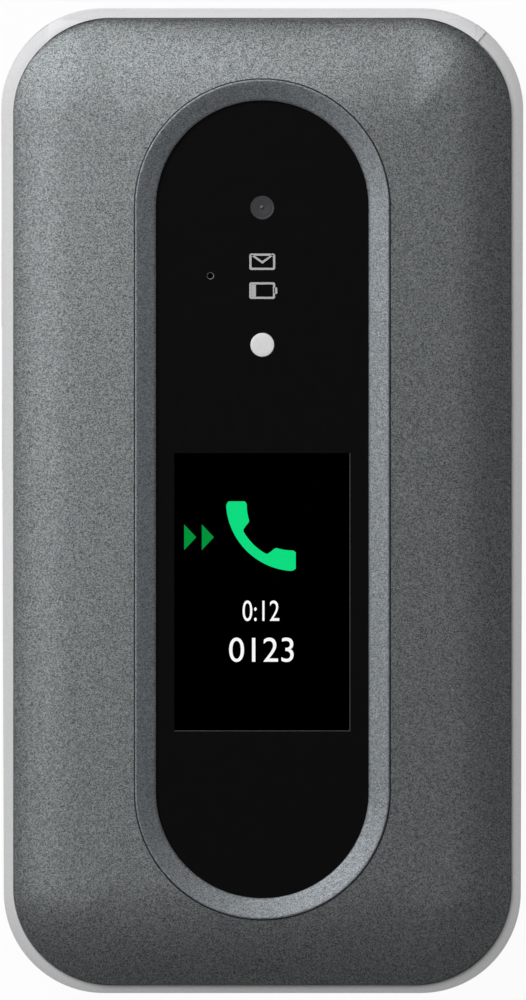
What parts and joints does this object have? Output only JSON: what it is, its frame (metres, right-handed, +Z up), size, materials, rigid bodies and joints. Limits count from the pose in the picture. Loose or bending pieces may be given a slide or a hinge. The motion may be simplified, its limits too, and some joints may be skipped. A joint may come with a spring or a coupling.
{
  "type": "flip phone",
  "caption": "Closed flip phone: hinged lid with a round-ended outer window, silver side bands, keypad base, pressing keys and a sliding battery cover.",
  "frame": {"origin": "centre of the closed phone's footprint, on the surface that its back lies on", "axes": "+Z up through the lid, +Y towards the hinge, +X to the right as the lid is seen"},
  "size_m": [0.0583, 0.11, 0.0195],
  "materials": {
    "graphite_paint": "metallic flake paint, satin",
    "graphite_ring": "fine metallic paint, satin",
    "black_glass": "gloss black behind clear",
    "display": "black display panel",
    "dark_plastic": "moulded matte",
    "lens_glass": "dark coated lens",
    "flash_diffuser": "milky diffuser",
    "light_guide": "frosted light guide",
    "sensor_metal": "stamped steel",
    "silver_band": "satin silver paint",
    "silver_trim": "bright satin silver",
    "inner_plastic": "fine textured black",
    "mesh_metal": "dark woven mesh",
    "circuit_board": "solder mask",
    "bumper_rubber": "soft matte",
    "screw_steel": "machined steel",
    "flex_film": "amber polyimide film",
    "housing_plastic": "fine textured graphite",
    "battery_wrap": "plain wrap",
    "antenna_copper": "printed copper",
    "contact_gold": "gold flash",
    "key_caps": "satin black keys",
    "call_key_cap": "satin black key, green sign",
    "end_key_cap": "satin black key, red sign"
  },
  "bodies": {
    "base": {"base_frame": "silver_band", "keypad_deck": "inner_plastic", "rear_housing": "housing_plastic", "battery": "battery_wrap", "main_circuit_board": "circuit_board", "key_dome_sheet": "flex_film", "sim_holder": "sensor_metal", "loudspeaker": "dark_plastic", "vibration_motor": "sensor_metal", "usb_socket": "sensor_metal", "base_microphone": "sensor_metal", "antenna": "antenna_copper", "charging_contacts": "contact_gold", "base_screws": "screw_steel", "hinge_cam": "screw_steel", "hinge_pin": "screw_steel"},
    "lid": {"lid_outer_cover": "graphite_paint", "window_bezel_ring": "graphite_ring", "outer_window": "black_glass", "outer_display": "display", "camera_module": "dark_plastic", "camera_lens": "lens_glass", "flash_lens": "flash_diffuser", "indicator_light_guide": "light_guide", "lid_microphone": "sensor_metal", "lid_frame": "silver_band", "hinge_trim": "silver_trim", "lid_inner_cover": "inner_plastic", "inner_display": "display", "inner_window": "black_glass", "earpiece_speaker": "dark_plastic", "earpiece_mesh": "mesh_metal", "lid_circuit_board": "circuit_board", "lid_bumpers": "bumper_rubber", "lid_magnet": "sensor_metal", "lid_screws": "screw_steel", "hinge_module": "screw_steel", "hinge_spring": "screw_steel", "hinge_flex": "flex_film"},
    "battery_cover": {"battery_cover": "housing_plastic"},
    "key_1": {"key_1": "key_caps"},
    "key_2": {"key_2": "key_caps"},
    "key_3": {"key_3": "key_caps"},
    "key_4": {"key_4": "key_caps"},
    "key_5": {"key_5": "key_caps"},
    "key_6": {"key_6": "key_caps"},
    "key_7": {"key_7": "key_caps"},
    "key_8": {"key_8": "key_caps"},
    "key_9": {"key_9": "key_caps"},
    "key_star": {"key_star": "key_caps"},
    "key_0": {"key_0": "key_caps"},
    "key_hash": {"key_hash": "key_caps"},
    "navigation_key": {"navigation_key": "key_caps"},
    "select_key": {"select_key": "key_caps"},
    "left_soft_key": {"left_soft_key": "key_caps"},
    "right_soft_key": {"right_soft_key": "key_caps"},
    "call_key": {"call_key": "call_key_cap"},
    "end_key": {"end_key": "end_key_cap"},
    "volume_up_key": {"volume_up_key": "silver_band"},
    "volume_down_key": {"volume_down_key": "silver_band"}
  },
  "joints": [
    {"name": "lid_hinge", "type": "hinge", "parent": "base", "child": "lid", "pos_m": [0, 0.0494, 0.014], "axis": [-1, 0, 0], "range_deg": [0, 155]},
    {"name": "battery_cover_slide", "type": "slide", "parent": "base", "child": "battery_cover", "axis": [0, -1, 0], "range_m": [0, 0.02]},
    {"name": "key_1_press", "type": "slide", "parent": "base", "child": "key_1", "axis": [0, 0, -1], "range_m": [0, 0.0003], "stiffness_N_per_m": 2000, "springref_m": -0.0005},
    {"name": "key_2_press", "type": "slide", "parent": "base", "child": "key_2", "axis": [0, 0, -1], "range_m": [0, 0.0003], "stiffness_N_per_m": 2000, "springref_m": -0.0005},
    {"name": "key_3_press", "type": "slide", "parent": "base", "child": "key_3", "axis": [0, 0, -1], "range_m": [0, 0.0003], "stiffness_N_per_m": 2000, "springref_m": -0.0005},
    {"name": "key_4_press", "type": "slide", "parent": "base", "child": "key_4", "axis": [0, 0, -1], "range_m": [0, 0.0003], "stiffness_N_per_m": 2000, "springref_m": -0.0005},
    {"name": "key_5_press", "type": "slide", "parent": "base", "child": "key_5", "axis": [0, 0, -1], "range_m": [0, 0.0003], "stiffness_N_per_m": 2000, "springref_m": -0.0005},
    {"name": "key_6_press", "type": "slide", "parent": "base", "child": "key_6", "axis": [0, 0, -1], "range_m": [0, 0.0003], "stiffness_N_per_m": 2000, "springref_m": -0.0005},
    {"name": "key_7_press", "type": "slide", "parent": "base", "child": "key_7", "axis": [0, 0, -1], "range_m": [0, 0.0003], "stiffness_N_per_m": 2000, "springref_m": -0.0005},
    {"name": "key_8_press", "type": "slide", "parent": "base", "child": "key_8", "axis": [0, 0, -1], "range_m": [0, 0.0003], "stiffness_N_per_m": 2000, "springref_m": -0.0005},
    {"name": "key_9_press", "type": "slide", "parent": "base", "child": "key_9", "axis": [0, 0, -1], "range_m": [0, 0.0003], "stiffness_N_per_m": 2000, "springref_m": -0.0005},
    {"name": "key_star_press", "type": "slide", "parent": "base", "child": "key_star", "axis": [0, 0, -1], "range_m": [0, 0.0003], "stiffness_N_per_m": 2000, "springref_m": -0.0005},
    {"name": "key_0_press", "type": "slide", "parent": "base", "child": "key_0", "axis": [0, 0, -1], "range_m": [0, 0.0003], "stiffness_N_per_m": 2000, "springref_m": -0.0005},
    {"name": "key_hash_press", "type": "slide", "parent": "base", "child": "key_hash", "axis": [0, 0, -1], "range_m": [0, 0.0003], "stiffness_N_per_m": 2000, "springref_m": -0.0005},
    {"name": "navigation_key_press", "type": "slide", "parent": "base", "child": "navigation_key", "axis": [0, 0, -1], "range_m": [0, 0.0003], "stiffness_N_per_m": 2000, "springref_m": -0.0005},
    {"name": "select_key_press", "type": "slide", "parent": "base", "child": "select_key", "axis": [0, 0, -1], "range_m": [0, 0.0003], "stiffness_N_per_m": 2000, "springref_m": -0.0005},
    {"name": "left_soft_key_press", "type": "slide", "parent": "base", "child": "left_soft_key", "axis": [0, 0, -1], "range_m": [0, 0.0003], "stiffness_N_per_m": 2000, "springref_m": -0.0005},
    {"name": "right_soft_key_press", "type": "slide", "parent": "base", "child": "right_soft_key", "axis": [0, 0, -1], "range_m": [0, 0.0003], "stiffness_N_per_m": 2000, "springref_m": -0.0005},
    {"name": "call_key_press", "type": "slide", "parent": "base", "child": "call_key", "axis": [0, 0, -1], "range_m": [0, 0.0003], "stiffness_N_per_m": 2000, "springref_m": -0.0005},
    {"name": "end_key_press", "type": "slide", "parent": "base", "child": "end_key", "axis": [0, 0, -1], "range_m": [0, 0.0003], "stiffness_N_per_m": 2000, "springref_m": -0.0005},
    {"name": "volume_up_key_press", "type": "slide", "parent": "base", "child": "volume_up_key", "axis": [1, 0, 0], "range_m": [0, 0.00025], "stiffness_N_per_m": 2000, "springref_m": -0.0005},
    {"name": "volume_down_key_press", "type": "slide", "parent": "base", "child": "volume_down_key", "axis": [1, 0, 0], "range_m": [0, 0.00025], "stiffness_N_per_m": 2000, "springref_m": -0.0005}
  ]
}
